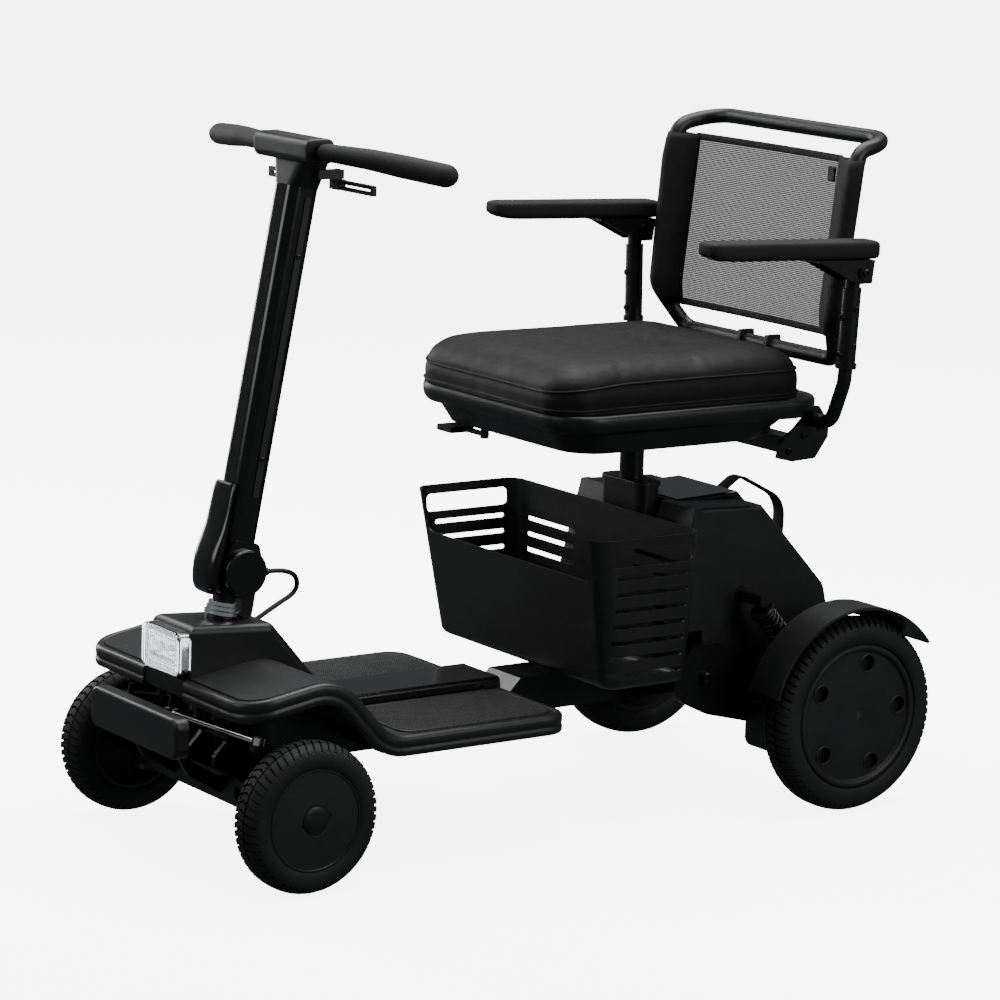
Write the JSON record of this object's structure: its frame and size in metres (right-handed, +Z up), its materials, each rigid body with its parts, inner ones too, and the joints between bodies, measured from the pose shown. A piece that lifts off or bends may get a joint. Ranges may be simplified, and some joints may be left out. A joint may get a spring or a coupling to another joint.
{
  "type": "mobility scooter",
  "caption": "Portable mobility scooter with folding steering column, swivel seat with mesh back and lifting armrests, front basket, sprung rear drive and lift-out battery.",
  "frame": {"origin": "on the floor under the middle of the overall box", "axes": "+Z up, the scooter faces -Y, its left side is +X"},
  "size_m": [0.58, 1.1535, 0.9535],
  "materials": {
    "arm_foam": "skinned foam",
    "back_mesh": "open woven mesh",
    "body_plastic": "fine-textured black plastic",
    "cable_jacket": "cable jacket",
    "chrome": "bright plated steel",
    "clear_lens": "clear moulded lens",
    "floor_rubber": "dimpled rubber mat",
    "frame_steel": "satin black powder coat",
    "gloss_black": "gloss black paint",
    "gloss_plastic": "gloss black plastic",
    "graphite": "satin graphite paint",
    "grip_foam": "soft grip",
    "motor_metal": "cast black case",
    "reflector": "vacuum-plated bowl",
    "seat_vinyl": "grained vinyl over foam",
    "strap_web": "woven strap",
    "tyre_rubber": "tread rubber",
    "wheel_disc": "satin black disc"
  },
  "bodies": {
    "chassis": {"main_frame": "frame_steel", "front_beam": "frame_steel", "head_tube": "gloss_black", "bumper_plate": "graphite", "front_cover": "body_plastic", "headlight_reflector": "reflector", "headlight_lens": "clear_lens", "deck": "body_plastic", "floor_mats": "floor_rubber", "spine_cover": "gloss_plastic", "seat_post_socket": "gloss_plastic", "rear_cover": "body_plastic", "harness_cable": "cable_jacket", "suspension_spring_left": "frame_steel", "suspension_spring_right": "frame_steel"},
    "basket": {"basket": "body_plastic"},
    "battery": {"battery_pack": "body_plastic", "battery_strap": "strap_web"},
    "steering": {"steering_shaft": "frame_steel", "lock_rings": "chrome", "hinge_foot": "gloss_black"},
    "column": {"column_tube": "gloss_black", "column_strips": "graphite", "hinge_covers": "gloss_plastic", "tiller_head": "body_plastic", "handlebar": "frame_steel", "grip_left": "grip_foam", "grip_right": "grip_foam"},
    "latch": {"fold_latch": "gloss_plastic"},
    "lever_left": {"hand_lever_left": "frame_steel"},
    "lever_right": {"hand_lever_right": "frame_steel"},
    "post": {"seat_post": "gloss_black"},
    "seat": {"seat_tray": "gloss_black", "seat_cushion": "seat_vinyl", "arm_frame": "frame_steel"},
    "seat_release": {"seat_lever": "body_plastic"},
    "backrest": {"backrest_frame": "frame_steel", "back_mesh": "back_mesh"},
    "knuckle_left": {"knuckle_left": "frame_steel"},
    "tie_rod_left": {"tie_rod_left": "chrome"},
    "front_wheel_left": {"front_tyre_left": "tyre_rubber", "front_wheel_disc_left": "wheel_disc"},
    "swing_left": {"swing_arm_left": "frame_steel", "drive_motor_left": "motor_metal", "fender_left": "body_plastic"},
    "rear_wheel_left": {"rear_tyre_left": "tyre_rubber", "rear_wheel_disc_left": "wheel_disc"},
    "armrest_left": {"arm_pad_left": "arm_foam", "arm_bracket_left": "frame_steel"},
    "knuckle_right": {"knuckle_right": "frame_steel"},
    "tie_rod_right": {"tie_rod_right": "chrome"},
    "front_wheel_right": {"front_tyre_right": "tyre_rubber", "front_wheel_disc_right": "wheel_disc"},
    "swing_right": {"swing_arm_right": "frame_steel", "drive_motor_right": "motor_metal", "fender_right": "body_plastic"},
    "rear_wheel_right": {"rear_tyre_right": "tyre_rubber", "rear_wheel_disc_right": "wheel_disc"},
    "armrest_right": {"arm_pad_right": "arm_foam", "arm_bracket_right": "frame_steel"}
  },
  "joints": [
    {"name": "steering_turn", "type": "hinge", "parent": "chassis", "child": "steering", "pos_m": [0, -0.4336, 0.382], "axis": [0, 0.1805, 0.9836], "range_deg": [-30, 30]},
    {"name": "column_fold", "type": "hinge", "parent": "steering", "child": "column", "pos_m": [0, -0.4277, 0.38092], "axis": [-1, 0, 0], "range_deg": [0, 20]},
    {"name": "latch_lift", "type": "hinge", "parent": "column", "child": "latch", "pos_m": [0, -0.44159, 0.49632], "axis": [-1, 0, 0], "range_deg": [0, 30], "stiffness_Nm_per_rad": 0.5, "springref_deg": -11.46},
    {"name": "lever_left_push", "type": "hinge", "parent": "column", "child": "lever_left", "pos_m": [0.037, -0.303, 0.9], "axis": [0, 0, -1], "range_deg": [0, 15], "stiffness_Nm_per_rad": 0.4, "springref_deg": -5.73},
    {"name": "lever_right_push", "type": "hinge", "parent": "column", "child": "lever_right", "pos_m": [-0.037, -0.303, 0.9], "axis": [0, 0, 1], "range_deg": [0, 15], "stiffness_Nm_per_rad": 0.4, "springref_deg": -5.73},
    {"name": "basket_lift", "type": "slide", "parent": "chassis", "child": "basket", "axis": [0, 0, 1], "range_m": [0, 0.08]},
    {"name": "battery_pull", "type": "slide", "parent": "chassis", "child": "battery", "axis": [0, 0.9397, 0.342], "range_m": [0, 0.14]},
    {"name": "seat_height", "type": "slide", "parent": "chassis", "child": "post", "axis": [0, 0, 1], "range_m": [0, 0.05]},
    {"name": "seat_swivel", "type": "hinge", "parent": "post", "child": "seat", "pos_m": [0, 0.2285, 0.516], "axis": [0, 0, 1], "range_deg": [-90, 90]},
    {"name": "seat_lever_pull", "type": "hinge", "parent": "seat", "child": "seat_release", "pos_m": [-0.066, 0.019, 0.518], "axis": [0, 0, 1], "range_deg": [0, 12], "stiffness_Nm_per_rad": 0.5, "springref_deg": -5.73},
    {"name": "backrest_tilt", "type": "hinge", "parent": "seat", "child": "backrest", "pos_m": [0, 0.45, 0.63], "axis": [1, 0, 0], "range_deg": [0, 22]},
    {"name": "knuckle_left_turn", "type": "hinge", "parent": "chassis", "child": "knuckle_left", "pos_m": [0.165, -0.45, 0.1005], "axis": [0, 0.1805, 0.9836], "range_deg": [-30, 30]},
    {"name": "tie_rod_left_turn", "type": "hinge", "parent": "steering", "child": "tie_rod_left", "pos_m": [0, -0.51852, 0.19628], "axis": [0, 0.1805, 0.9836], "range_deg": [-30, 30]},
    {"name": "front_wheel_left_spin", "type": "hinge", "parent": "knuckle_left", "child": "front_wheel_left", "pos_m": [0.229, -0.45, 0.1005], "axis": [1, 0, 0], "continuous": true},
    {"name": "swing_left_rise", "type": "hinge", "parent": "chassis", "child": "swing_left", "pos_m": [0.145, 0.255, 0.19], "axis": [1, 0, 0], "range_deg": [0, 5], "stiffness_Nm_per_rad": 1100, "springref_deg": -1.43, "deforming": ["suspension_spring_left"]},
    {"name": "rear_wheel_left_spin", "type": "hinge", "parent": "swing_left", "child": "rear_wheel_left", "pos_m": [0.2475, 0.438, 0.1385], "axis": [1, 0, 0], "continuous": true},
    {"name": "armrest_left_lift", "type": "hinge", "parent": "seat", "child": "armrest_left", "pos_m": [0.249, 0.4095, 0.768], "axis": [-1, 0, 0], "range_deg": [0, 90]},
    {"name": "knuckle_right_turn", "type": "hinge", "parent": "chassis", "child": "knuckle_right", "pos_m": [-0.165, -0.45, 0.1005], "axis": [0, 0.1805, 0.9836], "range_deg": [-30, 30]},
    {"name": "tie_rod_right_turn", "type": "hinge", "parent": "steering", "child": "tie_rod_right", "pos_m": [0, -0.52213, 0.17661], "axis": [0, 0.1805, 0.9836], "range_deg": [-30, 30]},
    {"name": "front_wheel_right_spin", "type": "hinge", "parent": "knuckle_right", "child": "front_wheel_right", "pos_m": [-0.229, -0.45, 0.1005], "axis": [1, 0, 0], "continuous": true},
    {"name": "swing_right_rise", "type": "hinge", "parent": "chassis", "child": "swing_right", "pos_m": [-0.145, 0.255, 0.19], "axis": [1, 0, 0], "range_deg": [0, 5], "stiffness_Nm_per_rad": 1100, "springref_deg": -1.43, "deforming": ["suspension_spring_right"]},
    {"name": "rear_wheel_right_spin", "type": "hinge", "parent": "swing_right", "child": "rear_wheel_right", "pos_m": [-0.2475, 0.438, 0.1385], "axis": [1, 0, 0], "continuous": true},
    {"name": "armrest_right_lift", "type": "hinge", "parent": "seat", "child": "armrest_right", "pos_m": [-0.249, 0.4095, 0.768], "axis": [-1, 0, 0], "range_deg": [0, 90]}
  ],
  "couplings": [
    {"joint": "knuckle_left_turn", "follows": "steering_turn", "ratio": 1},
    {"joint": "tie_rod_left_turn", "follows": "steering_turn", "ratio": -1},
    {"joint": "knuckle_right_turn", "follows": "steering_turn", "ratio": 1},
    {"joint": "tie_rod_right_turn", "follows": "steering_turn", "ratio": -1}
  ]
}
